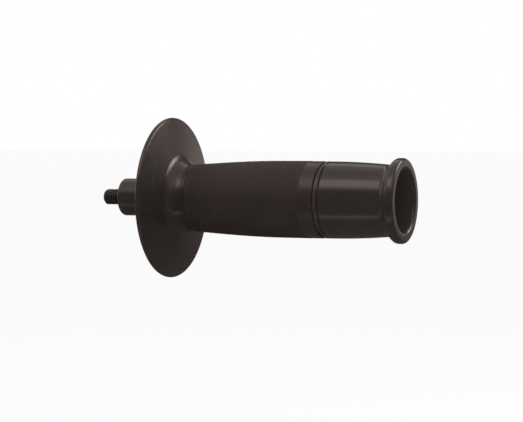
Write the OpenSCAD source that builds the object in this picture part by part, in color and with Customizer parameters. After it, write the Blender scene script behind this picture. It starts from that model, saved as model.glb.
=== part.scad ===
// Side handle for a hand-held power tool: a moulded core with a dished hand guard,
// a bolt captured in it, a soft front grip, a joint ring and a smooth rear sleeve.
// The handle's axis is X. The origin is the centre of the nose's seat face,
// the bolt's free end points to -X and the open mouth to +X.

/* [Nose boss] */
// Diameter of the boss that seats against the tool
boss_d = 19.1; // [17:0.1:22]
// Length of the boss from its seat face to the back of the guard's rim
boss_l = 26.3; // [22:0.1:32]
// Radius round the edge of the seat face
boss_edge_r = 1.1; // [0.4:0.1:2]

/* [Hand guard] */
// Diameter of the guard
guard_d = 81.5; // [70:0.5:95]
// Wall of the guard, of its root and of the bell behind it
guard_wall = 2.4; // [1.8:0.1:3]
// Angle by which the dish leans towards the hand, in degrees
guard_lean = 11.7; // [6:0.1:16]
// Radius of the root between the dish and the neck
root_r = 7; // [3:0.1:8]
// Number of gussets behind the guard, and of ribs in the tube
rib_count = 6; // [4:1:8]
// Thickness of a gusset or rib
rib_t = 1.6; // [1:0.1:2.4]
// Radius to which the gussets reach behind the guard
gusset_reach_r = 30; // [24:0.5:33]
// Depth of the gussets' free edge below the back of the rim
gusset_drop = 1.2; // [0.4:0.1:3]

/* [Neck and tube] */
// Step from the grip's front end down to the smooth neck
neck_step = 0.3; // [0.1:0.05:1]
// Length of the plain neck between the root and the grip
neck_l = 1.8; // [1:0.1:8]
// Thickness of the web that carries the bolt's socket
web_t = 2.4; // [1.6:0.1:4]
// Wall of the tube at the web
tube_wall = 2.5; // [1.8:0.1:3.5]
// Wall of the tube at its open end
spigot_wall = 2.1; // [1.4:0.1:3]
// Length of the low ribs along the bore
bore_rib_l = 32; // [15:1:50]
// Height of the low ribs along the bore
bore_rib_h = 1.3; // [0.6:0.1:2]

/* [Mounting bolt] */
// Diameter of the bolt's thread
bolt_d = 8; // [6:1:10]
// Length of the bolt under its head
bolt_l = 50; // [45:1:60]
// Length of thread that stands out of the nose
stud_l = 11; // [9:0.5:16]
// Chamfer on the bolt's free end
bolt_tip = 1; // [0.5:0.1:1.5]
// Diameter of the plain shank inside the nose
shank_d = 7.2; // [5:0.1:7.8]
// Width across the flats of the bolt's head
head_af = 13; // [11:0.1:14]
// Height of the bolt's head
head_h = 5.3; // [4:0.1:7]
// Depth by which the head lies below the top of its socket
head_sink = 0.7; // [0.2:0.1:2]
// Clearance round the bolt's thread in the nose
bolt_clear = 0.15; // [0.1:0.05:0.4]
// Clearance at each flat of the head in its socket
socket_clear = 0.05; // [0.02:0.01:0.15]

/* [Front grip] */
// Diameter of the grip at the neck
grip_front_d = 34.2; // [33:0.1:37]
// Largest diameter of the grip
grip_d = 38.3; // [37:0.1:42]
// Length of the grip from the neck to the joint ring
grip_l = 69.9; // [60:0.1:90]
// Length of the grip's even taper behind the neck
taper_l = 19; // [12:0.5:25]
// Length over which the taper rounds into the largest diameter
crown_l = 30; // [20:0.5:34]
// Length of the plain band at the grip's rear end
band_l = 7.4; // [4:0.1:10]
// Step from the grip's largest radius down to the plain band
band_step = 0.12; // [0.05:0.01:0.3]
// Soft wall of the grip at the neck
grip_wall = 2.3; // [1.5:0.1:3]
// Soft wall of the grip at its largest radius
grip_rear_wall = 2.75; // [1.8:0.05:3.5]
// Radius round the grip's two end edges
grip_edge_r = 0.6; // [0.3:0.1:1]

/* [Joint ring] */
// Width of the ring's visible bead
bead_w = 1.5; // [1:0.1:3]
// Depth of the bead's crest below the grip's largest radius
bead_sink = 0.15; // [0:0.05:0.6]
// Width of the groove between the grip and the bead
groove_front_w = 1.2; // [0.6:0.1:2]
// Width of the groove between the bead and the rear sleeve
groove_rear_w = 0.7; // [0.4:0.1:2]
// Depth of both grooves below the bead
groove_depth = 1.1; // [0.5:0.1:1.6]

/* [Rear sleeve] */
// Depth of the sleeve's front end below the grip's largest radius
sleeve_sink = 0.2; // [0.1:0.05:0.8]
// Depth by which the sleeve narrows from its front end to its waist
waist_in = 1.35; // [0.5:0.05:2]
// Length of the sleeve from the joint ring to the crest of the lip
sleeve_l = 38.1; // [32:0.1:50]
// Length of the spigot inside the sleeve
spigot_l = 19; // [12:0.5:24]
// Wall of the sleeve at its waist
waist_wall = 3; // [1.8:0.1:3.4]
// Height by which the rolled lip stands out from the waist
lip_proud = 3.2; // [1.5:0.05:5]
// Thickness of the rolled lip
lip_t = 5.5; // [4:0.1:6.5]
// Radius of the hollow between the waist and the lip
lip_root_r = 4; // [2:0.1:6]
// Chamfer on the sleeve's front edge
sleeve_edge = 0.35; // [0.1:0.05:0.8]

/* [Fits] */
// Gap left between pieces that are bonded or pressed together
bond_gap = 0.02; // [0.01:0.01:0.1]

/* [Hidden] */
$fn = 96;
// Names of the pieces

// Distance that one solid reaches into another before they are joined
weld = 0.5;
// Steps in a rounded stretch of an outline
arc_steps = 8;

// Radii of the moulding and of the grip round it
boss_r = boss_d / 2;
guard_r = guard_d / 2;
grip_front_r = grip_front_d / 2;
grip_r = grip_d / 2;
neck_r = grip_front_r - neck_step;
tube_front_r = grip_front_r - grip_wall;
spigot_r = grip_r - grip_rear_wall;
bore_deep_r = tube_front_r - tube_wall;
bore_end_r = spigot_r - spigot_wall;
hole_r = bolt_d / 2 + bolt_clear;

// Centre of the guard's rounded rim, and centre of its root
rim_r = guard_wall / 2;
rim_c = [guard_r - rim_r, boss_l + rim_r];
lean_dir = [sin(guard_lean), cos(guard_lean)];
root_mid_r = root_r + rim_r;
root_foot_r = neck_r + root_r - root_mid_r * lean_dir[0];
root_c = [
    neck_r + root_r,
    rim_c[1] + (rim_c[0] - root_foot_r) * tan(guard_lean) + root_mid_r * lean_dir[1]
];

// Places along the axis
grip_x = root_c[1] + neck_l;
recess_x = max(grip_x - guard_wall, root_c[1]);
floor_x = recess_x + web_t;
head_x = bolt_l - stud_l;
socket_x = max(head_x + head_h + head_sink, floor_x + head_sink);
ring_x = grip_x + grip_l;
bead_x = ring_x + groove_front_w;
sleeve_x = bead_x + bead_w + groove_rear_w;
spigot_x = sleeve_x + spigot_l;

// Slope of the grip's even taper, which makes the crown end level
grip_slope = (grip_r - grip_front_r) / (taper_l + crown_l / 2);

// Radii of the ring's bead and of the floor of the two grooves
bead_r = grip_r - bead_sink;
groove_r = bead_r - groove_depth;

// Radii of the rear sleeve, and centre of its lip
sleeve_front_r = grip_r - sleeve_sink;
waist_r = sleeve_front_r - waist_in;
sleeve_bore_r = waist_r - waist_wall;
lip_r = lip_t / 2;
lip_c = [waist_r + lip_proud - lip_r, sleeve_x + sleeve_l - lip_r];

// Centre of the hollow that joins the waist to the lip
hollow_up = waist_r + lip_root_r - lip_c[0];
hollow_c = [
    waist_r + lip_root_r,
    lip_c[1] - sqrt(pow(lip_root_r + lip_r, 2) - pow(hollow_up, 2))
];
hollow_end = acos(hollow_up / (lip_root_r + lip_r));

// Radius of the tube's bore at a place along the axis
function bore_r_at(x) =
    bore_deep_r + (bore_end_r - bore_deep_r) * (x - floor_x) / (spigot_x - floor_x);

// Radius of the grip at a distance from the neck: an even taper that rounds to level
function grip_r_at(u) =
    u < taper_l ? grip_front_r + grip_slope * u :
    u < taper_l + crown_l ?
        grip_r - grip_slope * pow(taper_l + crown_l - u, 2) / (2 * crown_l) :
    grip_r;

// Points of the root's arc at a radius, from the dish round to the neck
function root_arc(r) = [
    for (i = [0:arc_steps])
        let (a = guard_lean + (90 - guard_lean) * i / arc_steps)
        root_c - r * [sin(a), cos(a)]
];

// The same points in the opposite order
function backwards(points) = [for (i = [len(points) - 1:-1:0]) points[i]];

// Solid of revolution about X, from an outline of [radius, place along the axis]
module turned() {
    rotate([0, 90, 0]) rotate_extrude() children();
}

// Flat rib in a plane through the axis, from the same kind of outline
module rib(points) {
    rotate([0, 90, 0]) rotate([90, 0, 0])
        translate([0, 0, -rib_t / 2]) linear_extrude(rib_t) polygon(points);
}

// Ribs spread evenly round the axis
module rib_ring(points) {
    for (i = [0:rib_count - 1]) rotate([360 * i / rib_count, 0, 0]) rib(points);
}

// Boss with its rounded seat edge, running on as the bolt's socket
module boss_outline() {
    translate([hole_r, boss_edge_r]) square([boss_r - hole_r, socket_x - boss_edge_r]);
    translate([hole_r, 0]) square([boss_r - boss_edge_r - hole_r, boss_edge_r]);
    translate([boss_r - boss_edge_r, boss_edge_r]) circle(boss_edge_r);
}

// Dished guard, its root, the bell behind it, the neck's shoulder and the tube
module shell_outline() {
    translate(rim_c) circle(rim_r);
    polygon(concat(
        [rim_c + rim_r * lean_dir],
        root_arc(root_r),
        [
            [neck_r, grip_x],
            [tube_front_r, grip_x],
            [spigot_r, ring_x],
            [spigot_r, spigot_x],
            [bore_end_r, spigot_x],
            [bore_deep_r, floor_x],
            [boss_r - weld, floor_x],
            [boss_r - weld, recess_x],
            [neck_r - guard_wall, recess_x]
        ],
        backwards(root_arc(root_r + guard_wall)),
        [rim_c - rim_r * lean_dir]
    ));
}

// Gusset from the boss out along the back of the dish, sunk to the middle of its wall
gusset_x = boss_l + gusset_drop;
gusset_points = concat(
    [
        [boss_r - weld, gusset_x],
        [gusset_reach_r, max(gusset_x, rim_c[1] + (rim_c[0] - gusset_reach_r) * tan(guard_lean))]
    ],
    root_arc(root_mid_r),
    [
        [neck_r - rim_r, recess_x + weld],
        [boss_r - weld, recess_x + weld]
    ]
);

// Rib that braces the socket and runs on low along the bore
rib_end_x = floor_x + bore_rib_l;
bore_rib_points = [
    [boss_r - weld, floor_x - weld],
    [boss_r - weld, socket_x - 2 * weld],
    [bore_r_at(socket_x) - bore_rib_h, socket_x + bore_rib_h],
    [bore_r_at(rib_end_x) - bore_rib_h, rib_end_x - 2 * bore_rib_h],
    [bore_r_at(rib_end_x), rib_end_x],
    [bore_r_at(rib_end_x) + weld, rib_end_x],
    [bore_r_at(floor_x) + weld, floor_x - weld]
];

// Core of the handle, one moulding: nose, guard, bell, ribbed tube, socket and spigot
module guard_moulding() {
    color([0.17, 0.15, 0.14]) difference() {
        union() {
            turned() {
                boss_outline();
                shell_outline();
            }
            rib_ring(gusset_points);
            rib_ring(bore_rib_points);
        }
        // six-sided socket that stops the bolt from turning
        translate([head_x, 0, 0]) rotate([0, 90, 0])
            cylinder(d = (head_af + 2 * socket_clear) / cos(30), h = socket_x - head_x + weld, $fn = 6);
    }
}

// Bolt put in from the mouth, with its head in the socket and its thread out of the nose
module mounting_bolt() {
    head_r = head_af / 2 / cos(30);
    color([0.2, 0.2, 0.19]) {
        turned() polygon([
            [0, -stud_l],
            [bolt_d / 2 - bolt_tip, -stud_l],
            [bolt_d / 2, bolt_tip - stud_l],
            [bolt_d / 2, 0],
            [shank_d / 2, 0],
            [shank_d / 2, head_x + weld],
            [0, head_x + weld]
        ]);
        // hexagon with its outer corners taken off by a cone
        intersection() {
            translate([head_x, 0, 0]) rotate([0, 90, 0]) cylinder(r = head_r, h = head_h, $fn = 6);
            turned() polygon([
                [0, head_x],
                [head_r, head_x],
                [head_r, head_x + head_h - (head_r - head_af / 2) * tan(30)],
                [head_af / 2, head_x + head_h],
                [0, head_x + head_h]
            ]);
        }
    }
}

// Soft sleeve moulded round the tube, crowned, with a plain band at its rear end
module front_grip() {
    front = grip_x + bond_gap;
    rear = ring_x - bond_gap;
    band_r = grip_r - band_step;
    band_start = grip_l - band_l;
    color([0.2, 0.17, 0.16]) turned() {
        polygon(concat(
            [
                [tube_front_r + bond_gap, front],
                [grip_front_r - grip_edge_r, front],
                [grip_r_at(grip_edge_r), front + grip_edge_r]
            ],
            [
                for (i = [0:arc_steps])
                    let (u = taper_l + crown_l * i / arc_steps)
                    [grip_r_at(u), grip_x + u]
            ],
            [
                [grip_r, grip_x + band_start - band_step],
                [band_r, grip_x + band_start],
                [band_r, rear - grip_edge_r],
                [band_r - grip_edge_r, rear],
                [spigot_r + bond_gap, rear]
            ]
        ));
        translate([grip_front_r - grip_edge_r, front + grip_edge_r]) circle(grip_edge_r);
        translate([band_r - grip_edge_r, rear - grip_edge_r]) circle(grip_edge_r);
    }
}

// Ring between the two sleeves: a broad foot that is the grooves' floor, and a round bead
module joint_ring() {
    bead_top = bead_r - bead_w / 2;
    foot_r = spigot_r + bond_gap;
    color([0.17, 0.15, 0.14]) turned() {
        translate([foot_r, ring_x]) square([groove_r - foot_r, sleeve_x - ring_x]);
        translate([foot_r, bead_x]) square([bead_top - foot_r, bead_w]);
        translate([bead_top, bead_x + bead_w / 2]) circle(bead_w / 2);
    }
}

// Smooth end sleeve pressed over the spigot, waisted, with a rolled lip round its mouth
module rear_sleeve() {
    front = sleeve_x + bond_gap;
    seat_r = spigot_r + bond_gap;
    seat_x = spigot_x + bond_gap;
    run = hollow_c[1] - sleeve_x;
    color([0.17, 0.15, 0.14]) turned() {
        polygon(concat(
            [[seat_r, front], [sleeve_front_r - sleeve_edge, front]],
            [
                for (i = [0:arc_steps])
                    let (x = front + sleeve_edge + (run - bond_gap - sleeve_edge) * i / arc_steps)
                    [sleeve_front_r - waist_in * pow((x - sleeve_x) / run, 2), x]
            ],
            [
                for (i = [1:arc_steps])
                    let (a = hollow_end * i / arc_steps)
                    hollow_c - lip_root_r * [cos(a), -sin(a)]
            ],
            [
                lip_c,
                [lip_c[0] - lip_r, lip_c[1]],
                [sleeve_bore_r, seat_x],
                [seat_r, seat_x]
            ]
        ));
        translate(lip_c) circle(lip_r);
    }
}

guard_moulding();
mounting_bolt();
front_grip();
joint_ring();
rear_sleeve();
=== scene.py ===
# %% [markdown]
# # A black side handle: turned forms, a grained grip and soft studio light
# The handle screws into the side of a power tool. It is a hard moulding with a dished
# guard, a bolt held in it, a soft grained grip, a thin joint ring and a smooth end sleeve.
# Almost every face is a surface of revolution, so the lesson builds rings of points round
# one axis. It then spends its effort on edges, grain and the way black plastic takes light.
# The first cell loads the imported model, which fixes every size and place.

# %% Load the frame
import math

import bmesh
import bpy
import numpy as np
from mathutils import Matrix, Vector


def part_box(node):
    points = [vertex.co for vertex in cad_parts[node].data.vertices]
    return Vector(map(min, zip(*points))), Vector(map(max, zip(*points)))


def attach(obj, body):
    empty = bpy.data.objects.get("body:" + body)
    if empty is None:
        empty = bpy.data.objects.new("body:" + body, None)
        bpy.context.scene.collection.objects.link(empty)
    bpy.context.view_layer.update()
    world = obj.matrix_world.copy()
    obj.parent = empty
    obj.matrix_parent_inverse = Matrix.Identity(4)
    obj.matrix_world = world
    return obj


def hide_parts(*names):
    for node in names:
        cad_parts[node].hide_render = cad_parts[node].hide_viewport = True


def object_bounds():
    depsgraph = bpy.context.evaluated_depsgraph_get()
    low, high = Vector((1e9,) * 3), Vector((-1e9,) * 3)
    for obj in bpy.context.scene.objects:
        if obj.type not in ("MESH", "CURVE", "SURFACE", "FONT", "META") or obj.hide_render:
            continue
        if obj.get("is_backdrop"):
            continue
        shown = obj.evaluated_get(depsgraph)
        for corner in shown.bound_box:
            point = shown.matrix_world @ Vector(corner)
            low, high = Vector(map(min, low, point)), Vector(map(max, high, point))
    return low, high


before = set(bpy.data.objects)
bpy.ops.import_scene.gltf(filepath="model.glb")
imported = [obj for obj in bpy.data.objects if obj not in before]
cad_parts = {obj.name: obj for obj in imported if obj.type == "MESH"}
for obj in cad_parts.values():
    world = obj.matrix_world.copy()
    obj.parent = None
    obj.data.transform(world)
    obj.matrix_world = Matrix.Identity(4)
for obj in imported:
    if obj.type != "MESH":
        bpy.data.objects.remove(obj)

MM = 0.001
cad_low, cad_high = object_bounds()
print("CAD box in mm:", [round(v / MM, 2) for v in (*cad_low, *cad_high)])

# %% [markdown]
# ## The camera
# The photograph's own perspective was worked out first: a long lens, a little above the
# handle and 23 degrees round towards its open end. The lens is given as a focal length in
# the photograph's pixels, and the centre of the guard's rim is pinned to its pixel.
# A look-at constraint would be shorter, but it can't place a point off centre exactly.

# %% Stand the camera where the photograph was taken
PHOTO_W, PHOTO_H = 523, 422
FOCAL_PX = 1700
RIM_CENTRE_PX = (174.37, 197.6)
RIM_CENTRE = Vector((28.3 * MM, 0, 0))
RIM_DISTANCE = 868.6 * MM
AZIMUTH, ELEVATION = math.radians(23.15), math.radians(2.42)
SENSOR = 36.0

right = Vector((math.cos(AZIMUTH), math.sin(AZIMUTH), 0))
back = Vector((
    math.sin(AZIMUTH) * math.cos(ELEVATION),
    -math.cos(AZIMUTH) * math.cos(ELEVATION),
    math.sin(ELEVATION),
))
up = back.cross(right)
px = RIM_DISTANCE / FOCAL_PX
aside = (RIM_CENTRE_PX[0] - PHOTO_W / 2) * px
above = (PHOTO_H / 2 - RIM_CENTRE_PX[1]) * px

camera = bpy.data.objects.new("camera", bpy.data.cameras.new("camera"))
bpy.context.scene.collection.objects.link(camera)
camera.data.sensor_width = SENSOR
camera.data.lens = SENSOR * FOCAL_PX / PHOTO_W
camera.data.clip_start, camera.data.clip_end = 0.01, 50
spot = RIM_CENTRE - aside * right - above * up + RIM_DISTANCE * back
camera.matrix_world = Matrix.Translation(spot) @ Matrix((right, up, back)).transposed().to_4x4()
bpy.context.scene.camera = camera
print("camera at mm:", [round(v / MM, 1) for v in spot], "lens mm:", round(camera.data.lens, 1))

# %% [markdown]
# ## Shader maths as Python
# A material is a small sum over positions and noises. Wiring each Math node by hand hides
# that sum, so a wrapper round a socket overloads the operators, and the sum is written as
# an expression. Colours and vectors go through Mix and Vector Math, because a Math node
# would turn a colour grey.

# %% Wrap sockets so that expressions add nodes
class Wire:
    """One output socket. Arithmetic on it adds Math nodes to its tree."""

    def __init__(self, paint, socket):
        self.paint, self.socket = paint, socket

    def maths(self, operation, *values, **settings):
        settings["operation"] = operation
        return self.paint.node("ShaderNodeMath", settings, dict(enumerate(values)))["Value"]

    def __add__(self, other):
        return self.maths("ADD", self, other)

    def __radd__(self, other):
        return self.maths("ADD", other, self)

    def __sub__(self, other):
        return self.maths("SUBTRACT", self, other)

    def __rsub__(self, other):
        return self.maths("SUBTRACT", other, self)

    def __mul__(self, other):
        return self.maths("MULTIPLY", self, other)

    def __rmul__(self, other):
        return self.maths("MULTIPLY", other, self)

    def __gt__(self, other):
        return self.maths("GREATER_THAN", self, other)

    def max(self, other):
        return self.maths("MAXIMUM", self, other)

    def ramp(self, low, high, to_low=0.0, to_high=1.0):
        """Smooth step from to_low to to_high as this goes from low to high."""
        values = {"Value": self, "From Min": low, "From Max": high,
                  "To Min": to_low, "To Max": to_high}
        settings = {"interpolation_type": "SMOOTHSTEP"}
        return self.paint.node("ShaderNodeMapRange", settings, values)["Result"]


# %% Make every node through one method
class Node:
    """A node whose outputs are read by name."""

    def __init__(self, paint, node):
        self.paint, self.node = paint, node

    def __getitem__(self, name):
        return Wire(self.paint, self.node.outputs[name])


class Paint:
    """A node tree, and the one method that adds nodes to it."""

    def __init__(self, tree):
        self.tree = tree
        tree.nodes.clear()

    def node(self, kind, settings=None, values=None):
        node = self.tree.nodes.new(kind)
        for name, value in (settings or {}).items():
            setattr(node, name, value)
        for name, value in (values or {}).items():
            if isinstance(value, Wire):
                self.tree.links.new(value.socket, node.inputs[name])
            else:
                node.inputs[name].default_value = value
        return Node(self, node)

    def mix(self, factor, first, second):
        """Colour between first and second."""
        node = self.node("ShaderNodeMix", {"data_type": "RGBA"})
        sockets = [s for s in node.node.inputs if s.enabled]
        for socket, value in zip(sockets, (factor, first, second)):
            if isinstance(value, Wire):
                self.tree.links.new(value.socket, socket)
            else:
                socket.default_value = value
        return Wire(self, next(s for s in node.node.outputs if s.enabled))

    def noise(self, scale, detail, roughness=0.5):
        """Noise in the handle's own coordinates, scale in features per metre."""
        place = self.node("ShaderNodeTexCoord")["Object"]
        values = {"Vector": place, "Scale": scale, "Detail": detail, "Roughness": roughness}
        return self.node("ShaderNodeTexNoise", None, values)["Fac"]

    def along_and_out(self):
        """Place along the handle and distance from its axis, both in metres."""
        place = self.node("ShaderNodeTexCoord")["Object"]
        apart = self.node("ShaderNodeSeparateXYZ", None, {"Vector": place})
        spoke = self.node("ShaderNodeCombineXYZ", None, {"Y": apart["Y"], "Z": apart["Z"]})
        out = self.node("ShaderNodeVectorMath", {"operation": "LENGTH"}, {0: spoke["Vector"]})
        return apart["X"], out["Value"]


print("shader helpers ready")

# %% [markdown]
# ## Rings of points
# A turned piece can come from Blender's Screw modifier, from a curve with a bevel, or from
# a grid of points. The grid wins here: the same code then makes plain turned faces, a
# hexagon, a helical thread and a grained surface, because each point has its own radius.
# Edges that really are sharp are marked so, and the rest is shaded smooth.

# %% Build a mesh from rings round the handle's axis
def close_ends(work, first, last):
    """Fill the first and the last ring with a fan each, for a piece with no hole."""
    for ring, flip in ((first, False), (last, True)):
        middle = work.verts.new(Vector((ring[0].co.x, 0, 0)))
        for j, vertex in enumerate(ring):
            after = ring[(j + 1) % len(ring)]
            work.faces.new((middle, vertex, after) if flip else (middle, after, vertex))


def from_rings(name, x, r, around, hollow, sharp_angle=32):
    """Mesh object from places x[i, j] along the axis and radii r[i, j], in millimetres.
    A hollow piece joins its last ring to its first; a solid one closes both ends."""
    rows = len(x)
    x, r = (np.broadcast_to(values, (rows, around)) for values in (x, r))
    turn = np.arange(around) * (2 * math.pi / around)
    points = np.stack([x, r * np.sin(turn), r * np.cos(turn)], axis=-1).reshape(-1, 3) * MM
    row = np.arange(rows if hollow else rows - 1)[:, None]
    column = np.arange(around)[None, :]
    after_row, after_column = (row + 1) % rows, (column + 1) % around
    corners = [row * around + column, row * around + after_column,
               after_row * around + after_column, after_row * around + column]
    faces = np.stack([np.broadcast_to(c, (len(row), around)) for c in corners], axis=-1).reshape(-1, 4)
    mesh = bpy.data.meshes.new(name)
    mesh.from_pydata(points.tolist(), [], faces.tolist())
    work = bmesh.new()
    work.from_mesh(mesh)
    work.verts.ensure_lookup_table()
    if not hollow:
        rings = [[work.verts[i * around + j] for j in range(around)] for i in (0, rows - 1)]
        close_ends(work, *rings)
    bmesh.ops.recalc_face_normals(work, faces=work.faces)
    mark_edges(work, sharp_angle)
    work.to_mesh(mesh)
    work.free()
    piece = bpy.data.objects.new(name, mesh)
    bpy.context.scene.collection.objects.link(piece)
    print(name, "has", len(mesh.polygons), "faces")
    return piece


def mark_edges(work, sharp_angle):
    """Shade every face smooth, and break the shading only at edges past the angle."""
    limit = math.radians(sharp_angle)
    for face in work.faces:
        face.smooth = True
    for edge in work.edges:
        edge.smooth = len(edge.link_faces) != 2 or edge.calc_face_angle(0) < limit


# %% [markdown]
# ## Outlines with soft corners
# No moulded edge is sharp: even a crisp one has a few tenths of a millimetre of radius,
# and that radius is what draws the thin lines of light on a black part. So an outline is
# a list of corners, each with its own radius, and a helper turns each corner into an arc.
# A second helper adds rings beside the corners. Smooth shading averages the normals at a
# ring, and a ring close by keeps that average from bending the light on the long faces.

# %% Round the corners of an outline, and add rings beside them
def rounded(corners, steps=5):
    """Closed outline of (x, r, radius) corners, with each corner turned into an arc."""
    outline = []
    for i, (x, r, radius) in enumerate(corners):
        here = Vector((x, r))
        before = Vector(corners[i - 1][:2]) - here
        after = Vector(corners[(i + 1) % len(corners)][:2]) - here
        half = before.angle(after) / 2
        if radius == 0 or half > math.pi / 2 - 0.01:
            outline.append(here)
            continue
        reach = min(radius / math.tan(half), before.length * 0.49, after.length * 0.49)
        radius = reach * math.tan(half)
        inward = (before.normalized() + after.normalized()).normalized()
        middle = here + inward * (radius / math.sin(half))
        start = here + before.normalized() * reach - middle
        finish = here + after.normalized() * reach - middle
        swing = math.pi - 2 * half
        for k in range(steps + 1):
            share = k / steps
            first = math.sin((1 - share) * swing) / math.sin(swing)
            last = math.sin(share * swing) / math.sin(swing)
            outline.append(middle + start * first + finish * last)
    return outline


def refined(outline, longest=4.0, beside=0.25):
    """The same outline with more rings: close beside each corner, and along long faces."""
    fine = []
    for i, here in enumerate(outline):
        after = outline[(i + 1) % len(outline)]
        length = (after - here).length
        fine.append(here)
        if length < 3 * beside:
            continue
        fine.append(here.lerp(after, beside / length))
        inner = max(1, round((length - 2 * beside) / longest))
        for k in range(1, inner):
            fine.append(here.lerp(after, (beside + (length - 2 * beside) * k / inner) / length))
        fine.append(here.lerp(after, 1 - beside / length))
    return fine


def arc(centre, radius, start, finish, steps):
    """Corners along an arc in the (x, r) plane; angles in degrees from +x towards +r."""
    angles = [math.radians(start + (finish - start) * k / steps) for k in range(steps + 1)]
    return [(centre[0] + radius * math.cos(a), centre[1] + radius * math.sin(a), 0) for a in angles]


def turned(name, corners, around=256, steps=5):
    """Hollow turned piece from a closed outline of corners."""
    outline = np.array([tuple(p) for p in refined(rounded(corners, steps))])
    return from_rings(name, outline[:, :1], outline[:, 1:], around, True)


def span(node):
    """Where a CAD node starts and ends along the axis, and its largest radius, in mm."""
    low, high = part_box(node)
    return low.x / MM, high.x / MM, high.z / MM


# %% [markdown]
# ## The hard moulding
# Nose boss, dished guard, root, neck and tube are one moulding, so they are one outline.
# The dish leans towards the hand and runs into the neck through a round root, and its rim
# is fully rounded. Most numbers come from the frame, and the rest are the radii and walls
# that the outline needs.

# %% Set out the moulding from the frame
_, spigot_x, guard_r = span("guard_moulding")
grip_x, grip_end_x, grip_r = span("front_grip")
stud_x, head_top_x, _ = span("mounting_bolt")
BOND_GAP = 0.02
BOSS_R, BOSS_L, HOLE_R = 9.55, 26.3, 4.15
GUARD_WALL, LEAN, ROOT_R = 2.4, 11.7, 7.0
GRIP_FRONT_R = 17.1
NECK_R = GRIP_FRONT_R - 0.3
TUBE_FRONT_R = GRIP_FRONT_R - 2.3
SPIGOT_R = grip_r - 2.75
BORE_DEEP_R, BORE_END_R = TUBE_FRONT_R - 2.5, SPIGOT_R - 2.1
WEB_T, HEAD_SINK = 2.4, 0.7

shoulder_x = grip_x - BOND_GAP
ring_x = grip_end_x + BOND_GAP
socket_x = head_top_x + HEAD_SINK
rim_r = GUARD_WALL / 2
rim = (BOSS_L + rim_r, guard_r - rim_r)
lean_x, lean_r = math.cos(math.radians(LEAN)), math.sin(math.radians(LEAN))
foot_r = NECK_R + ROOT_R - (ROOT_R + rim_r) * lean_r
root_x = rim[0] + (rim[1] - foot_r) * lean_r / lean_x + (ROOT_R + rim_r) * lean_x
root = (root_x, NECK_R + ROOT_R)
recess_x = max(shoulder_x - GUARD_WALL, root_x)
floor_x = recess_x + WEB_T
print("root centre at x", round(root_x, 2), "web from", round(recess_x, 2), "to", round(floor_x, 2))

# %% Turn the moulding's body
ROOT_STEPS, RIM_STEPS = 24, 12
EDGE_R = 0.3
NECK_ANGLE, DISH_ANGLE = 270, 180 + LEAN
moulding_corners = [
    (0, HOLE_R, EDGE_R),
    (0, BOSS_R, 1.1),
    (recess_x, BOSS_R, 1.0),
    (recess_x, NECK_R - GUARD_WALL, 1.0),
    *arc(root, ROOT_R + GUARD_WALL, NECK_ANGLE, DISH_ANGLE, ROOT_STEPS)[1:],
    *arc(rim, rim_r, DISH_ANGLE, LEAN, RIM_STEPS),
    *arc(root, ROOT_R, DISH_ANGLE, NECK_ANGLE, ROOT_STEPS),
    (shoulder_x, NECK_R, 0.35),
    (shoulder_x, TUBE_FRONT_R, 0),
    (ring_x, SPIGOT_R, 0),
    (spigot_x, SPIGOT_R, EDGE_R),
    (spigot_x, BORE_END_R, EDGE_R),
    (floor_x, BORE_DEEP_R, 0.8),
    (floor_x, BOSS_R, 0.5),
    (socket_x, BOSS_R, 0.4),
    (socket_x, HOLE_R, 0),
]
moulding = turned("hard_core", moulding_corners)

# %% [markdown]
# ## Gussets, ribs and the socket
# Six gussets stand between the boss and the dish, and six ribs brace the socket and run on
# low along the bore. Each is a flat plate in a plane through the axis. A plate could just
# be pushed into the body, but then the mesh would hold faces inside itself. A Boolean
# union joins them into one closed skin, and a difference cuts the six-sided socket.

# %% Make flat plates in planes through the axis
RIB_COUNT, RIB_T = 6, 1.6
WELD, PLATE_EDGE = 0.5, 0.3


def bore_r_at(x):
    """Radius of the tube's bore at a place along the axis."""
    return BORE_DEEP_R + (BORE_END_R - BORE_DEEP_R) * (x - floor_x) / (spigot_x - floor_x)


def plates(name, outline):
    """One object with a flat plate of this (x, r) outline at each of the rib angles."""
    work = bmesh.new()
    for i in range(RIB_COUNT):
        turn = 2 * math.pi * i / RIB_COUNT
        outward = Vector((0, math.sin(turn), math.cos(turn)))
        aside_dir = Vector((0, math.cos(turn), -math.sin(turn)))
        sides = []
        for shift in (-RIB_T / 2, RIB_T / 2):
            sides.append([
                work.verts.new((Vector((x, 0, 0)) + outward * r + aside_dir * shift) * MM)
                for x, r in outline
            ])
        work.faces.new(sides[0])
        work.faces.new(sides[1][::-1])
        for k in range(len(outline)):
            after = (k + 1) % len(outline)
            work.faces.new((sides[0][k], sides[0][after], sides[1][after], sides[1][k]))
    bmesh.ops.bevel(work, geom=work.edges, offset=PLATE_EDGE * MM, segments=2, profile=0.5,
                    affect="EDGES")
    bmesh.ops.recalc_face_normals(work, faces=work.faces)
    mesh = bpy.data.meshes.new(name)
    work.to_mesh(mesh)
    work.free()
    piece = bpy.data.objects.new(name, mesh)
    bpy.context.scene.collection.objects.link(piece)
    return piece


def combine(piece, tool, operation):
    """Boolean of two closed meshes, applied to the first; the second is removed."""
    modifier = piece.modifiers.new("combine", "BOOLEAN")
    modifier.operation, modifier.solver, modifier.object = operation, "MANIFOLD", tool
    baked = bpy.data.meshes.new_from_object(
        piece.evaluated_get(bpy.context.evaluated_depsgraph_get()))
    piece.modifiers.clear()
    piece.data = baked
    bpy.data.objects.remove(tool)


def settle_edges(piece, sharp_angle=32):
    """Mark the edges again and say whether the skin is closed."""
    work = bmesh.new()
    work.from_mesh(piece.data)
    mark_edges(work, sharp_angle)
    loose = sum(len(edge.link_faces) != 2 for edge in work.edges)
    work.to_mesh(piece.data)
    work.free()
    print(piece.name, "has", len(piece.data.polygons), "faces and", loose, "open edges")


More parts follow.
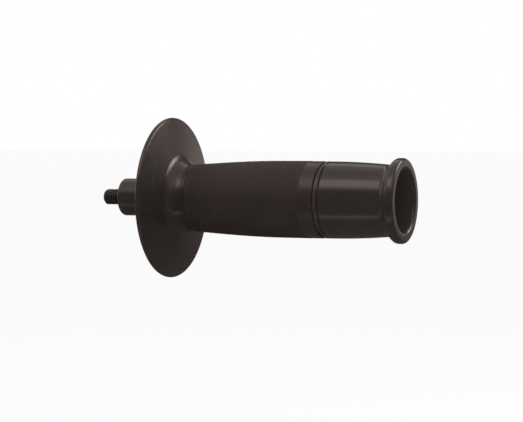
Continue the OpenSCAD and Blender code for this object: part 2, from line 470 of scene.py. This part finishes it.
# %% Join the gussets and ribs, and cut the socket
GUSSET_DROP, GUSSET_REACH_R = 1.2, 30
gusset_x = BOSS_L + GUSSET_DROP
gusset = [(gusset_x, BOSS_R - WELD),
          (max(gusset_x, rim[0] + (rim[1] - GUSSET_REACH_R) * lean_r / lean_x), GUSSET_REACH_R)]
gusset += [c[:2] for c in arc(root, ROOT_R + rim_r, DISH_ANGLE, NECK_ANGLE, 8)]
gusset += [(recess_x + WELD, NECK_R - rim_r), (recess_x + WELD, BOSS_R - WELD)]

BORE_RIB_L, BORE_RIB_H = 32, 1.3
rib_end_x = floor_x + BORE_RIB_L
bore_rib = [
    (floor_x - WELD, BOSS_R - WELD),
    (socket_x - 2 * WELD, BOSS_R - WELD),
    (socket_x + BORE_RIB_H, bore_r_at(socket_x) - BORE_RIB_H),
    (rib_end_x - 2 * BORE_RIB_H, bore_r_at(rib_end_x) - BORE_RIB_H),
    (rib_end_x, bore_r_at(rib_end_x)),
    (rib_end_x, bore_r_at(rib_end_x) + WELD),
    (floor_x - WELD, bore_r_at(floor_x) + WELD),
]
combine(moulding, plates("gussets", gusset), "UNION")
combine(moulding, plates("bore_ribs", bore_rib), "UNION")

HEAD_AF, HEAD_H, SOCKET_CLEAR = 13.0, 5.3, 0.05
head_x = head_top_x - HEAD_H
socket_corner_r = (HEAD_AF / 2 + SOCKET_CLEAR) / math.cos(math.pi / 6)
socket_rows = np.array([[head_x], [socket_x + WELD]])
socket_cut = from_rings("socket_cut", socket_rows, np.array([[socket_corner_r]]), 6, False)
combine(moulding, socket_cut, "DIFFERENCE")
settle_edges(moulding)

# %% [markdown]
# ## The bolt
# An M8 bolt sits in the socket, and its last eleven millimetres stand out of the nose. The
# thread is a height field over turn and place: a crest an eighth of a pitch wide, flanks
# at 60 degrees and a root a quarter of a pitch wide. A swept profile would need its ends
# cleaned up. In a height field the end chamfer and the run-out are only limits on radius.

# %% Make the bolt with its thread and its six-sided head
PITCH, STUD_R, SHANK_R, TIP_CHAMFER = 1.25, 4.0, 3.6, 1.0
THREAD_DEPTH = 0.5413 * PITCH
THREAD_STEP = PITCH / 20
BOLT_AROUND = 192
RUN_OUT = 1.0
HEAD_CONE_L, HEAD_EDGE, HEAD_FILLET = 0.9, 0.2, 0.3
CONE_TOP_R = 0.475 * HEAD_AF

turn = np.arange(BOLT_AROUND)[None, :] * (2 * math.pi / BOLT_AROUND)
thread_x = np.arange(stud_x, RUN_OUT, THREAD_STEP)[:, None]
phase = (thread_x / PITCH + turn / (2 * math.pi)) % 1
from_crest = np.abs(phase - 0.5)
depth = THREAD_DEPTH * np.clip((from_crest - 1 / 16) / (5 / 16), 0, 1)
chamfer_r = STUD_R - TIP_CHAMFER + (thread_x - stud_x)
thread_r = np.minimum(STUD_R - depth, chamfer_r)
ending = np.clip(thread_x / RUN_OUT, 0, 1)
thread_r = thread_r * (1 - ending) + SHANK_R * ending

flat_turn = turn % (math.pi / 3) - math.pi / 6
hexagon_r = HEAD_AF / 2 / np.cos(flat_turn)
cone_x = np.linspace(head_top_x - HEAD_CONE_L, head_top_x, 10)[:, None]
cone_r = np.minimum(hexagon_r, CONE_TOP_R + (head_top_x - cone_x) * math.sqrt(3))
plain = np.ones((1, BOLT_AROUND))
neck_x = [[RUN_OUT], [head_x - HEAD_FILLET], [head_x], [head_x], [head_x + HEAD_EDGE]]
bolt_x = np.concatenate([thread_x, neck_x, cone_x])
bolt_r = np.concatenate([
    thread_r, plain * SHANK_R, plain * SHANK_R, plain * (SHANK_R + HEAD_FILLET),
    hexagon_r - HEAD_EDGE, hexagon_r, cone_r,
])
bolt = from_rings("bolt", bolt_x, bolt_r, BOLT_AROUND, False, sharp_angle=28)

# %% [markdown]
# ## The grained grip
# The soft sleeve has a leather-like grain, cut into the mould and so standing a little below
# the skin's outer form. Cells come from the distances to the two nearest of many scattered
# points: the difference of the two is small along the seams between cells. The points are
# laid out on the unrolled sleeve, and copies past the join keep the grain whole there.
# The grain fades at the front edge and stops at the plain band, as it does on the object.

# %% Set out the sleeve's form and scatter the grain's cells
GRIP_AROUND = 384
TAPER_L, CROWN_L, BAND_L, BAND_STEP = 19, 30, 7.4, 0.12
GRIP_EDGE = 0.6
GRAIN_CELL, GRAIN_DEPTH = 1.7, 0.14
grip_front = grip_x
band_x = ring_x - BAND_L


def grip_r_at(x):
    """Outer radius of the sleeve: a straight taper, then a crown that levels off."""
    u = x - shoulder_x
    slope = (grip_r - GRIP_FRONT_R) / (TAPER_L + CROWN_L / 2)
    crown = grip_r - slope * np.clip(TAPER_L + CROWN_L - u, 0, None) ** 2 / (2 * CROWN_L)
    return np.where(u < TAPER_L, GRIP_FRONT_R + slope * u, crown)


def grain(x, turn_angle, cell, seed):
    """Cell pattern on the unrolled sleeve: 0 in a seam and 1 on top of a cell."""
    draw = np.random.default_rng(seed)
    girth = 2 * math.pi * grip_r
    rows = int((band_x - grip_front) / cell) + 5
    columns = round(girth / cell)
    jitter = draw.random((rows, columns, 2)) * 0.95
    seeds_x = grip_front + (np.arange(rows)[:, None] - 2 + jitter[..., 0]) * cell
    seeds_y = (np.arange(columns)[None, :] + jitter[..., 1]) * girth / columns
    along, across = np.broadcast_arrays(x, turn_angle / (2 * math.pi) * girth)
    home_row = np.floor((along - grip_front) / cell).astype(int) + 2
    home_column = np.floor(across / girth * columns).astype(int)
    near = np.full(along.shape, 1e9)
    second = near.copy()
    for di in (-2, -1, 0, 1, 2):
        for dj in (-2, -1, 0, 1, 2):
            i = np.clip(home_row + di, 0, rows - 1)
            j = (home_column + dj) % columns
            gap_y = np.abs(across - seeds_y[i, j])
            gap_y = np.minimum(gap_y, girth - gap_y)
            reach = np.hypot(along - seeds_x[i, j], gap_y)
            second = np.minimum(second, np.maximum(near, reach))
            near = np.minimum(near, reach)
    return np.clip((second - near) / (0.55 * cell), 0, 1)


def smooth(value):
    """Smooth step of a value from 0 to 1."""
    value = np.clip(value, 0, 1)
    return value * value * (3 - 2 * value)


print("grip radius at its front and middle:", grip_r_at(np.array([grip_x, (grip_x + ring_x) / 2])).round(2))

# %% Sink the seams into the sleeve's skin
edge_steps = np.linspace(0, math.pi / 2, 6)[:, None]
front_edge_x = grip_front + GRIP_EDGE * (1 - np.sin(edge_steps))[::-1]
front_edge_r = float(grip_r_at(grip_front + GRIP_EDGE)) - GRIP_EDGE * (1 - np.cos(edge_steps))[::-1]
skin_x = np.linspace(grip_front + GRIP_EDGE, band_x, 206)[1:, None]
grip_turn = np.arange(GRIP_AROUND)[None, :] * (2 * math.pi / GRIP_AROUND)
cells = smooth(grain(skin_x, grip_turn, GRAIN_CELL, 11))
pits = smooth(grain(skin_x, grip_turn, GRAIN_CELL * 0.6, 23))
swell = 0.7 * cells + 0.3 * pits
fade = smooth((skin_x - grip_front - 0.8) / 3.0) * smooth((band_x - 0.1 - skin_x) / 0.3)
skin_r = grip_r_at(skin_x) - GRAIN_DEPTH * (1 - swell) * fade

# %% Close the sleeve with its plain band and its bore
band_r = grip_r - BAND_STEP
corner = np.linspace(0, math.pi / 2, 5)[:, None]
rear_edge_x = grip_end_x - GRIP_EDGE * (1 - np.sin(corner))
rear_edge_r = band_r - GRIP_EDGE * (1 - np.cos(corner))
band_rows = np.linspace(band_x + 0.12, grip_end_x - GRIP_EDGE - 0.1, 6)[:, None]
foot_front_r, foot_rear_r = TUBE_FRONT_R + BOND_GAP, SPIGOT_R + BOND_GAP
parts = [
    (front_edge_x, front_edge_r),
    (skin_x, skin_r),
    (band_rows, np.full_like(band_rows, band_r)),
    (rear_edge_x, rear_edge_r),
    (np.array([[grip_end_x]]), np.array([[foot_rear_r + 0.3]])),
    (np.array([[grip_end_x]]), np.array([[foot_rear_r]])),
    (np.array([[grip_front]]), np.array([[foot_front_r]])),
    (np.array([[grip_front]]), np.array([[foot_front_r + 0.3]])),
]
sleeve_x = np.concatenate([p[0] for p in parts])
sleeve_r = np.concatenate([np.broadcast_to(p[1], (len(p[0]), GRIP_AROUND)) for p in parts])
grip = from_rings("soft_grip", sleeve_x, sleeve_r, GRIP_AROUND, True, sharp_angle=60)
tone = np.ones(sleeve_r.shape)
first = len(front_edge_x)
tone[first:first + len(skin_x)] = 1 - (1 - swell) * fade
attribute = grip.data.attributes.new("grain", "FLOAT", "POINT")
attribute.data.foreach_set("value", tone.ravel().astype(np.float32))
print("grain attribute from", round(float(tone.min()), 2), "to", round(float(tone.max()), 2))

# %% [markdown]
# ## The joint ring and the end sleeve
# Two fine grooves leave a narrow bead between the grip and the end sleeve. The sleeve is
# waisted like a horn and rolls over into a thick lip round the open mouth. The lip's back is
# an arc that meets the waist through a hollow of its own, so the two arcs touch. That
# touching point is worked out, because a kink there would show in every reflection. The
# lip's face towards the mouth is flat with a small radius on either side, and it mirrors the
# same place all the way round.

# %% Turn the joint ring
BEAD_W, BEAD_SINK, GROOVE_FRONT_W, GROOVE_DEPTH = 1.5, 0.15, 1.2, 1.1
ring_start, ring_end, _ = span("joint_ring")
bead_r = grip_r - BEAD_SINK
groove_r = bead_r - GROOVE_DEPTH
bead_x = ring_start + GROOVE_FRONT_W
bead_middle = (bead_x + BEAD_W / 2, bead_r - BEAD_W / 2)
ring = turned("joint_band", [
    (ring_start, foot_rear_r, 0),
    (ring_end, foot_rear_r, 0),
    (ring_end, groove_r, 0.1),
    (bead_x + BEAD_W, groove_r, 0.12),
    *arc(bead_middle, BEAD_W / 2, 0, 180, 16),
    (bead_x, groove_r, 0.12),
    (ring_start, groove_r, 0.1),
])

# %% Turn the end sleeve and its rolled lip
SLEEVE_SINK, WAIST_IN, WAIST_WALL = 0.2, 1.35, 3.0
LIP_PROUD, LIP_R, LIP_HOLLOW_R, SLEEVE_EDGE = 3.2, 2.75, 4.0, 0.35
LIP_EDGE_R, CORNER_STEPS = 1.5, 14
sleeve_front, mouth_x, _ = span("rear_sleeve")
joint_x = sleeve_front - BOND_GAP
front_r = grip_r - SLEEVE_SINK
waist_r = front_r - WAIST_IN
mouth_r = waist_r - WAIST_WALL
lip = (mouth_x - LIP_R, waist_r + LIP_PROUD - LIP_R)
hollow_rise = waist_r + LIP_HOLLOW_R - lip[1]
hollow = (lip[0] - math.sqrt((LIP_HOLLOW_R + LIP_R) ** 2 - hollow_rise ** 2), waist_r + LIP_HOLLOW_R)
touch = math.degrees(math.acos(hollow_rise / (LIP_HOLLOW_R + LIP_R)))
run = hollow[0] - joint_x
seat_x = spigot_x + BOND_GAP
outer_edge = (mouth_x - LIP_EDGE_R, lip[1] + LIP_R - LIP_EDGE_R)
inner_edge = (mouth_x - LIP_EDGE_R, lip[1] - LIP_R + LIP_EDGE_R)
waist = [
    (x, front_r - WAIST_IN * ((x - joint_x) / run) ** 2, 0)
    for x in np.linspace(sleeve_front + SLEEVE_EDGE, hollow[0], CORNER_STEPS)
]
sleeve = turned("end_sleeve", [
    (sleeve_front, foot_rear_r, 0),
    (sleeve_front, front_r, SLEEVE_EDGE),
    *waist,
    *arc(hollow, LIP_HOLLOW_R, 270, 270 + touch, CORNER_STEPS)[1:],
    *arc(lip, LIP_R, 90 + touch, 90, 20)[1:],
    *arc(outer_edge, LIP_EDGE_R, 90, 0, CORNER_STEPS),
    *arc(inner_edge, LIP_EDGE_R, 0, -90, CORNER_STEPS),
    (seat_x, mouth_r, 0.3),
    (seat_x, foot_rear_r, 0),
])
print("lip arc meets its hollow at", round(touch, 1), "degrees")

# %% Tie each piece to the frame
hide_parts("guard_moulding")
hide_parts("mounting_bolt")
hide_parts("front_grip")
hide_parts("joint_ring")
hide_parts("rear_sleeve")
slots = {moulding: "hard_moulding", bolt: "black_oxide_steel", grip: "soft_grip",
         ring: "hard_moulding", sleeve: "sleeve_moulding"}
for piece, slot in slots.items():
    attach(piece, "root")
    print(piece.name, "rides on root with slot", slot)

# %% [markdown]
# ## Finishes
# All of it is black plastic, yet no two parts look alike. Pure black would be wrong: carbon
# filled nylon is a warm dark brown-grey, and its sheen is warm too. What sets the parts
# apart is roughness. The end sleeve is nearly polished, the core has the fine matt of a
# spark-eroded mould, and the soft grip is duller still. Fine noise varies each of them,
# because a perfectly even value looks like computer graphics. A thin film of dust lies on
# all of it. In the grooves, the bore and the mouth a paler dust tone is laid on more thickly,
# where no hand wipes it off, and that paler tone is also painted light that lifts the shade there.

# %% Layers that a plastic can carry
MICRON = 1e-6
BROAD, FINE, FILM, PEBBLE = 45, 900, 160, 1150
DUST_AND_FILL_TONE = (0.17, 0.140, 0.125, 1)
DUST_AND_FILL_FEATHER = 0.25
BAND_POLISH = 0.28


def lay(paint, skin, cover, colour, rougher):
    """Lay a colour over a skin of (tint, roughness), by as much as cover says."""
    tint, rough = skin
    return paint.mix(cover, tint, colour), rough + cover * rougher


def settle_dust_and_fill_light(paint, skin, behind, within, share):
    """Dust behind a place along the handle and within a radius, both in millimetres: a paler
    tone that is also painted light, lifting the shade in grooves and the bore.
    """
    # Painted light: a paler dust tone lifts the shade inside grooves and the bore.
    along, out = paint.along_and_out()
    inside = 1 - out.ramp((within - DUST_AND_FILL_FEATHER) * MM, within * MM)
    return lay(paint, skin, inside * (along > behind * MM) * share, DUST_AND_FILL_TONE, 1.0)


def grained_skin(paint, skin, colour):
    """Paint shade into the seams of the grain, darker and rougher there, and make the plain
    band behind it smoother.
    """
    seam = 1 - paint.node("ShaderNodeAttribute", {"attribute_name": "grain"})["Fac"]
    # Painted shade: the seams of the grain get a darker tint.
    tint, rough = lay(paint, skin, seam * 0.55, (*(c * 0.45 for c in colour), 1), 0.22)
    along, _ = paint.along_and_out()
    return tint, rough - (along > band_x * MM) * BAND_POLISH


def pebbled(paint, height):
    """Add fine round pebbles to a height."""
    place = paint.node("ShaderNodeTexCoord")["Object"]
    pebble = paint.node("ShaderNodeTexVoronoi", {"feature": "F1"}, {"Vector": place, "Scale": PEBBLE})
    return height * 0.5 + (1 - pebble["Distance"]) * 0.8


# %% One recipe for moulded plastic
def plastic(name, colour, roughness, sheen, texture, dust, warmth=0.86, grained=False, settled_dust_and_light=None):
    """Principled plastic. texture is (features per metre, bump height in metres), and the
    last argument is what the dust settling function takes: (behind, within, share), a paler
    tone that is dust and also painted light lifting the shade of recesses."""
    material = bpy.data.materials.new(name)
    material.use_nodes = True
    paint = Paint(material.node_tree)
    broad, fine = paint.noise(BROAD, 3), paint.noise(FINE, 4, 0.6)
    light, dark = [(*(c * k for c in colour), 1) for k in (1.25, 0.8)]
    tint = paint.mix(broad.ramp(0.3, 0.7) * 0.6 + fine.ramp(0.35, 0.65) * 0.4, dark, light)
    skin = tint, roughness + (broad - 0.5) * 0.10 + (fine - 0.5) * 0.10
    skin = lay(paint, skin, paint.noise(FILM, 5, 0.65).ramp(0.52, 0.78) * dust, DUST_AND_FILL_TONE, 0.5)
    height = paint.noise(texture[0], 3, 0.6)
    # Paler dust in recesses, which is also painted light lifting their shade.
    if settled_dust_and_light:
        skin = settle_dust_and_fill_light(paint, skin, *settled_dust_and_light)
    if grained:
        skin = grained_skin(paint, skin, colour)
        height = pebbled(paint, height)
    bump = paint.node("ShaderNodeBump", None,
                      {"Height": height, "Distance": texture[1], "Strength": 1.0})["Normal"]
    shader = paint.node("ShaderNodeBsdfPrincipled", None, {
        "Base Color": skin[0], "Roughness": skin[1].max(0.05), "Normal": bump, "IOR": 1.5,
        "Specular IOR Level": sheen, "Specular Tint": (1.0, warmth, warmth - 0.04, 1),
    })
    paint.node("ShaderNodeOutputMaterial", None, {"Surface": shader["BSDF"]})
    return material


# %% Mix the four plastics
WARM_BLACK, SOFT_BLACK = (0.0235, 0.0182, 0.0152), (0.0235, 0.0178, 0.0150)
SHEEN, SOFT_SHEEN = 0.42, 0.36
# The settled tones below are dust and also painted light that lifts the shade of the bore, the ring's
# grooves and the sleeve's mouth.
hard = plastic("hard_plastic", WARM_BLACK, 0.25, SHEEN, (5200, 4 * MICRON), dust=0.03,
               settled_dust_and_light=(floor_x, BORE_END_R + 0.3, 0.20))
ring_hard = plastic("bead_plastic", WARM_BLACK, 0.13, SHEEN, (2600, 2 * MICRON), dust=0.02,
                    settled_dust_and_light=(0, bead_r - 0.4, 0.22))
smooth_hard = plastic("smooth_plastic", WARM_BLACK, 0.19, SHEEN, (2600, 2 * MICRON), dust=0.02,
                      settled_dust_and_light=(seat_x - 1, mouth_r + 0.9, 0.17))
soft = plastic("soft_rubber", SOFT_BLACK, 0.60, SOFT_SHEEN, (3800, 30 * MICRON), dust=0.04,
               warmth=0.80, grained=True)
print("plastics:", [material.name for material in (hard, ring_hard, smooth_hard, soft)])

# %% [markdown]
# ## Black oxide steel
# The bolt is a bought part, blackened in an oxide bath and oiled. The oxide is thin, so the
# surface keeps some of the look of metal, and it wears bright along the thread's crests.
# Worn crests could be painted on a mask, but distance from the axis says where they are.

# %% Finish the bolt
OXIDE, BRIGHT_STEEL = (0.022, 0.021, 0.020, 1), (0.16, 0.15, 0.14, 1)
WEAR_DEPTH = 0.12
steel = bpy.data.materials.new("black_oxide")
steel.use_nodes = True
paint = Paint(steel.node_tree)
_, out = paint.along_and_out()
cloud = paint.noise(700, 4, 0.6)
wear = out.ramp((STUD_R - WEAR_DEPTH) * MM, STUD_R * MM) * cloud.ramp(0.45, 0.65)
tint = paint.mix(wear * 0.6, OXIDE, BRIGHT_STEEL)
bump = paint.node("ShaderNodeBump", None,
                  {"Height": cloud, "Distance": 20 * MICRON, "Strength": 0.6})
shader = paint.node("ShaderNodeBsdfPrincipled", None, {
    "Base Color": tint, "Roughness": 0.34 + (cloud - 0.5) * 0.2, "Metallic": wear * 0.7 + 0.25,
    "Normal": bump["Normal"], "IOR": 1.6,
})
paint.node("ShaderNodeOutputMaterial", None, {"Surface": shader["BSDF"]})

for piece, material in {moulding: hard, bolt: steel, grip: soft, ring: ring_hard,
                        sleeve: smooth_hard}.items():
    piece.data.materials.clear()
    piece.data.materials.append(material)
print("finishes set on", [piece.name for piece in slots])

# %% [markdown]
# ## The floor
# A product shot stands on a sweep of pale card. Here the handle is held well clear of it,
# so its shadow falls soft and low. To the camera the card is mostly a flat white, and a
# share of its own shading stays in, so that it keeps the handle's shadow.

# %% Lay the pale floor
FLOOR_DROP, FLOOR_SIZE, FLOOR_WHITE = 0.16, 60.0, 0.8
PALE, WHITE = (0.9, 0.9, 0.9, 1), (1, 1, 1, 1)


def card(name, centre, facing, width, height):
    """Flat rectangle with its middle at centre and its front towards facing."""
    mesh = bpy.data.meshes.new(name)
    w, h = width / 2, height / 2
    mesh.from_pydata([(-w, -h, 0), (w, -h, 0), (w, h, 0), (-w, h, 0)], [], [(0, 1, 2, 3)])
    piece = bpy.data.objects.new(name, mesh)
    bpy.context.scene.collection.objects.link(piece)
    turn_to = Vector(facing).to_track_quat("Z", "Y")
    piece.matrix_world = Matrix.Translation(Vector(centre)) @ turn_to.to_matrix().to_4x4()
    piece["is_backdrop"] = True
    return piece


middle = Vector((0.07, 0, 0))
floor_z = cad_low.z - FLOOR_DROP
floor = card("floor", (middle.x, 0, floor_z), (0, 0, 1), FLOOR_SIZE, FLOOR_SIZE)
floor_paper = bpy.data.materials.new("floor_paper")
floor_paper.use_nodes = True
paint = Paint(floor_paper.node_tree)
shaded = paint.node("ShaderNodeBsdfPrincipled", None, {
    "Base Color": PALE, "Roughness": 0.9, "Specular IOR Level": 0.1})["BSDF"]
flat = paint.node("ShaderNodeEmission", None, {"Color": WHITE, "Strength": 1.0})["Emission"]
seen = paint.node("ShaderNodeLightPath")["Is Camera Ray"] * FLOOR_WHITE
both = paint.node("ShaderNodeMixShader", None, {0: seen, 1: shaded, 2: flat})["Shader"]
paint.node("ShaderNodeOutputMaterial", None, {"Surface": both})
floor.data.materials.append(floor_paper)
print("floor lies at z mm", round(floor_z / MM, 1))

# %% [markdown]
# ## Light
# Two lights explain what the photograph shows. A softbox, high in front and a little to the
# left, draws the broad band along the end sleeve. A small one behind and to the right draws
# the arch on the guard's root, the glint on its rim and the arc on the lip. Everything else
# that black plastic mirrors is card: near black below and in front, grey behind and paler
# above. Cards that only mirror rays can see shape those reflections and leave the light
# itself plain.

# %% Hang the two softboxes
LAMP_TONE = (1.0, 0.94, 0.90)
KEY_RADIANCE, KICK_RADIANCE = 1.8, 7.2
LAMP_DISTANCE, KEY_SHIFT = 0.9, -0.12


def softbox(name, azimuth, elevation, length, width, radiance, shift=0.0):
    """Area lamp facing the handle from an azimuth, counted from +X towards +Y, and an
    elevation, both in degrees. A shift moves it along the handle."""
    turn_by, lift = math.radians(azimuth), math.radians(elevation)
    away = Vector((math.cos(lift) * math.cos(turn_by), math.cos(lift) * math.sin(turn_by),
                   math.sin(lift)))
    lamp = bpy.data.objects.new(name, bpy.data.lights.new(name, "AREA"))
    lamp.data.shape = "RECTANGLE"
    lamp.data.size, lamp.data.size_y = length, width
    lamp.data.energy = radiance * math.pi * length * width
    lamp.data.color = LAMP_TONE
    lamp.visible_camera = False
    bpy.context.scene.collection.objects.link(lamp)
    spot = middle + away * LAMP_DISTANCE + Vector((shift, 0, 0))
    lamp.matrix_world = Matrix.Translation(spot) @ away.to_track_quat("Z", "Y").to_matrix().to_4x4()
    return lamp


softbox("key_box", -90, 52.5, 0.55, 0.38, KEY_RADIANCE, shift=KEY_SHIFT)
softbox("kick_box", 46, 25, 0.37, 0.24, KICK_RADIANCE)

# %% Stand the cards that the handle mirrors
CARD_TONE = (1.0, 0.87, 0.82, 1)
CARD_LENGTH = 14
LOW, HIGH = floor_z + 0.01, 2.5
UP, DOWN, FORWARD, BACKWARD, LEFT = (0, 0, 1), (0, 0, -1), (0, -1, 0), (0, 1, 0), (-1, 0, 0)


def flag(name, x, y, z, facing, height, grey):
    """Long card of an even grey that only mirror rays see."""
    piece = card(name, (x, y, z), facing, CARD_LENGTH, height)
    material = bpy.data.materials.new(name)
    material.use_nodes = True
    paint = Paint(material.node_tree)
    shader = paint.node("ShaderNodeEmission", None, {"Color": CARD_TONE, "Strength": grey})
    paint.node("ShaderNodeOutputMaterial", None, {"Surface": shader["Emission"]})
    piece.data.materials.append(material)
    piece.visible_camera = piece.visible_diffuse = piece.visible_shadow = False
    return piece


flag("card_low_back", middle.x, 3.90, LOW, UP, 8.1, 0.10)
flag("card_low_front", middle.x, -2.20, LOW, UP, 4.0, 0.05)
flag("card_back", middle.x, 3.5, 0.28, FORWARD, 1.0, 0.50)
flag("card_back_high", middle.x, 3.5, 1.78, FORWARD, 2.0, 0.12)
flag("card_above", middle.x, 0.75, HIGH, DOWN, 2.3, 0.78)
flag("card_front", middle.x, -1.8, 0.5, BACKWARD, 1.4, 0.12)
flag("card_right", 2.6, 0, 0.35, LEFT, 1.4, 0.12)

# %% [markdown]
# ## World
# The background has to be paper white to the camera and in reflections, and plain and dim
# as a light. Light Path tells the two kinds of ray apart.

# %% Set a white background and a plain fill
FILL = 0.9
world = bpy.data.worlds.new("studio")
bpy.context.scene.world = world
world.use_nodes = True
paint = Paint(world.node_tree)
ray = paint.node("ShaderNodeLightPath")
seen = ray["Is Camera Ray"] + ray["Is Glossy Ray"] + ray["Is Transmission Ray"]
fill = paint.node("ShaderNodeBackground", None, {"Color": WHITE, "Strength": FILL})["Background"]
white = paint.node("ShaderNodeBackground", None, {"Color": WHITE, "Strength": 1.0})["Background"]
choice = paint.node("ShaderNodeMixShader", None, {0: seen, 1: fill, 2: white})
paint.node("ShaderNodeOutputWorld", None, {"Surface": choice["Shader"]})
bpy.context.scene.view_settings.view_transform = "Standard"
print("world fill", FILL, "and view transform Standard")

# %% Compare the sizes and finish
seen_low, seen_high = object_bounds()
for label, low, high in (("CAD", cad_low, cad_high), ("visual", seen_low, seen_high)):
    print(label, "box in mm:", [round(v / MM, 2) for v in (*low, *high)])
